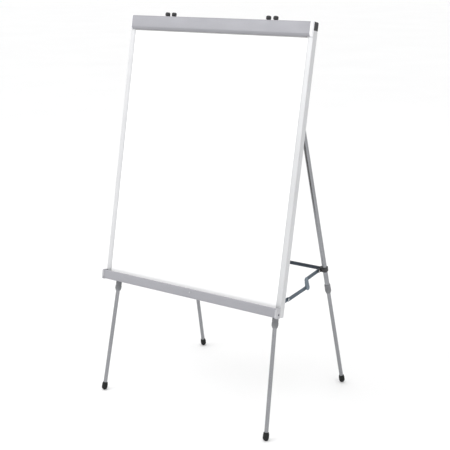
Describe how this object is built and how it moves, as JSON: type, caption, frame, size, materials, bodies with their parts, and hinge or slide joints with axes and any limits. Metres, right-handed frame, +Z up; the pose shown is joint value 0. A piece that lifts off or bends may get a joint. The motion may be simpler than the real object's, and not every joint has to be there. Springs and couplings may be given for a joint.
{
  "type": "flipchart easel",
  "caption": "Folding easel with a framed white writing board, hinged pad clamp bar with sliding hooks, pen tray and splayed telescoping legs joined by folding stays.",
  "frame": {"origin": "on the floor, in the middle of the feet at rest", "axes": "+Z up, -Y towards the reader the board faces, +X to the reader's right"},
  "size_m": [0.7, 0.5492, 1.2691],
  "materials": {
    "white_enamel": "gloss white dry-wipe enamel",
    "hardboard": "plain",
    "rail_aluminium": "satin anodised",
    "satin_grey": "satin grey",
    "leg_aluminium": "bright anodised",
    "zinc_steel": "zinc plated",
    "black_steel": "satin black",
    "black_plastic": "fine texture",
    "grey_plastic": "fine texture",
    "pale_plastic": "fine texture",
    "black_rubber": "matt",
    "silver_plastic": "fine texture",
    "grey_rubber": "matt",
    "stay_steel": "satin blue-grey",
    "stay_plastic": "fine texture"
  },
  "bodies": {
    "easel_board": {"writing_surface": "white_enamel", "panel_core": "hardboard", "side_rail_left": "rail_aluminium", "side_rail_right": "rail_aluminium", "top_rail": "rail_aluminium", "bottom_rail": "rail_aluminium", "corner_block_left": "black_plastic", "corner_block_right": "black_plastic", "corner_key_left": "grey_plastic", "corner_key_right": "grey_plastic", "head_brace": "rail_aluminium", "front_tube_left": "leg_aluminium", "front_tube_right": "leg_aluminium", "front_tube_plug_left": "black_plastic", "front_tube_plug_right": "black_plastic", "hinge_bracket_left": "black_steel", "hinge_bracket_right": "black_steel", "hinge_pin_left": "zinc_steel", "hinge_pin_right": "zinc_steel", "stay_bracket_left": "black_steel", "stay_bracket_right": "black_steel", "pen_tray": "satin_grey", "tray_cap_left": "silver_plastic", "tray_cap_right": "silver_plastic"},
    "clamp_bar_body": {"clamp_bar": "satin_grey", "clamp_cap_left": "pale_plastic", "clamp_cap_right": "pale_plastic", "clamp_grip_strip": "grey_rubber"},
    "rear_legs": {"rear_tube_left": "leg_aluminium", "rear_tube_right": "leg_aluminium", "rear_tube_plug_left": "black_plastic", "rear_tube_plug_right": "black_plastic", "crossbar": "black_steel", "brace_clamp_left": "black_plastic", "brace_clamp_right": "black_plastic"},
    "stay_front_left": {"stay_front_link_left": "stay_steel"},
    "stay_rear_left": {"stay_rear_link_left": "stay_steel", "stay_grip_left": "stay_plastic"},
    "pad_hook_body_left": {"pad_hook_left": "black_steel"},
    "knob_left_a": {"hook_knob_left_a": "black_plastic"},
    "knob_left_b": {"hook_knob_left_b": "black_plastic"},
    "front_leg_left": {"front_inner_left": "leg_aluminium", "front_foot_left": "black_rubber"},
    "front_lock_left": {"front_collar_left": "grey_plastic"},
    "rear_leg_left": {"rear_inner_left": "leg_aluminium", "rear_foot_left": "black_rubber"},
    "rear_lock_left": {"rear_collar_left": "grey_plastic"},
    "stay_front_right": {"stay_front_link_right": "stay_steel"},
    "stay_rear_right": {"stay_rear_link_right": "stay_steel", "stay_grip_right": "stay_plastic"},
    "pad_hook_body_right": {"pad_hook_right": "black_steel"},
    "knob_right_a": {"hook_knob_right_a": "black_plastic"},
    "knob_right_b": {"hook_knob_right_b": "black_plastic"},
    "front_leg_right": {"front_inner_right": "leg_aluminium", "front_foot_right": "black_rubber"},
    "front_lock_right": {"front_collar_right": "grey_plastic"},
    "rear_leg_right": {"rear_inner_right": "leg_aluminium", "rear_foot_right": "black_rubber"},
    "rear_lock_right": {"rear_collar_right": "grey_plastic"}
  },
  "joints": [
    {"name": "rear_legs_fold", "type": "hinge", "parent": "easel_board", "child": "rear_legs", "pos_m": [0, -0.01407, 1.18038], "axis": [-1, 0, 0], "range_deg": [0, 24.7]},
    {"name": "clamp_bar_lift", "type": "hinge", "parent": "easel_board", "child": "clamp_bar_body", "pos_m": [0, -0.0306, 1.25078], "axis": [-1, 0, 0], "range_deg": [0, 80]},
    {"name": "stay_front_left_swing", "type": "hinge", "parent": "easel_board", "child": "stay_front_left", "pos_m": [-0.265, -0.1769, 0.37568], "axis": [-1, 0, 0], "range_deg": [0, 62.65]},
    {"name": "stay_rear_left_swing", "type": "hinge", "parent": "rear_legs", "child": "stay_rear_left", "pos_m": [-0.265, 0.14594, 0.43106], "axis": [1, 0, 0], "range_deg": [0, 122.24]},
    {"name": "pad_hook_left_slide", "type": "slide", "parent": "clamp_bar_body", "child": "pad_hook_body_left", "axis": [1, 0, 0], "range_m": [-0.055, 0.055]},
    {"name": "knob_left_a_turn", "type": "hinge", "parent": "pad_hook_body_left", "child": "knob_left_a", "pos_m": [-0.208, -0.04001, 1.2547], "axis": [0, 0.1959, 0.9806], "continuous": true},
    {"name": "knob_left_b_turn", "type": "hinge", "parent": "pad_hook_body_left", "child": "knob_left_b", "pos_m": [-0.182, -0.04001, 1.2547], "axis": [0, 0.1959, 0.9806], "continuous": true},
    {"name": "front_leg_left_extend", "type": "slide", "parent": "easel_board", "child": "front_leg_left", "axis": [-0.0436, -0.1958, -0.9797], "range_m": [-0.3, 0.26]},
    {"name": "front_lock_left_twist", "type": "hinge", "parent": "easel_board", "child": "front_lock_left", "pos_m": [-0.2804, -0.03025, 1.18361], "axis": [0.0436, 0.1958, 0.9797], "range_deg": [0, 90]},
    {"name": "rear_leg_left_extend", "type": "slide", "parent": "rear_legs", "child": "rear_leg_left", "axis": [-0.0489, 0.2315, -0.9716], "range_m": [-0.3, 0.26]},
    {"name": "rear_lock_left_twist", "type": "hinge", "parent": "rear_legs", "child": "rear_lock_left", "pos_m": [-0.2444, -0.01407, 1.18038], "axis": [0.0489, -0.2315, 0.9716], "range_deg": [0, 90]},
    {"name": "stay_front_right_swing", "type": "hinge", "parent": "easel_board", "child": "stay_front_right", "pos_m": [0.265, -0.1769, 0.37568], "axis": [-1, 0, 0], "range_deg": [0, 62.65]},
    {"name": "stay_rear_right_swing", "type": "hinge", "parent": "rear_legs", "child": "stay_rear_right", "pos_m": [0.265, 0.14594, 0.43106], "axis": [1, 0, 0], "range_deg": [0, 122.24]},
    {"name": "pad_hook_right_slide", "type": "slide", "parent": "clamp_bar_body", "child": "pad_hook_body_right", "axis": [1, 0, 0], "range_m": [-0.055, 0.055]},
    {"name": "knob_right_a_turn", "type": "hinge", "parent": "pad_hook_body_right", "child": "knob_right_a", "pos_m": [0.182, -0.04001, 1.2547], "axis": [0, 0.1959, 0.9806], "continuous": true},
    {"name": "knob_right_b_turn", "type": "hinge", "parent": "pad_hook_body_right", "child": "knob_right_b", "pos_m": [0.208, -0.04001, 1.2547], "axis": [0, 0.1959, 0.9806], "continuous": true},
    {"name": "front_leg_right_extend", "type": "slide", "parent": "easel_board", "child": "front_leg_right", "axis": [0.0436, -0.1958, -0.9797], "range_m": [-0.3, 0.26]},
    {"name": "front_lock_right_twist", "type": "hinge", "parent": "easel_board", "child": "front_lock_right", "pos_m": [0.2804, -0.03025, 1.18361], "axis": [-0.0436, 0.1958, 0.9797], "range_deg": [0, 90]},
    {"name": "rear_leg_right_extend", "type": "slide", "parent": "rear_legs", "child": "rear_leg_right", "axis": [0.0489, 0.2315, -0.9716], "range_m": [-0.3, 0.26]},
    {"name": "rear_lock_right_twist", "type": "hinge", "parent": "rear_legs", "child": "rear_lock_right", "pos_m": [0.2444, -0.01407, 1.18038], "axis": [-0.0489, -0.2315, 0.9716], "range_deg": [0, 90]}
  ],
  "couplings": [
    {"joint": "stay_front_left_swing", "follows": "rear_legs_fold", "ratio": 2.536},
    {"joint": "stay_rear_left_swing", "follows": "rear_legs_fold", "ratio": 4.9483},
    {"joint": "stay_front_right_swing", "follows": "rear_legs_fold", "ratio": 2.536},
    {"joint": "stay_rear_right_swing", "follows": "rear_legs_fold", "ratio": 4.9483}
  ]
}
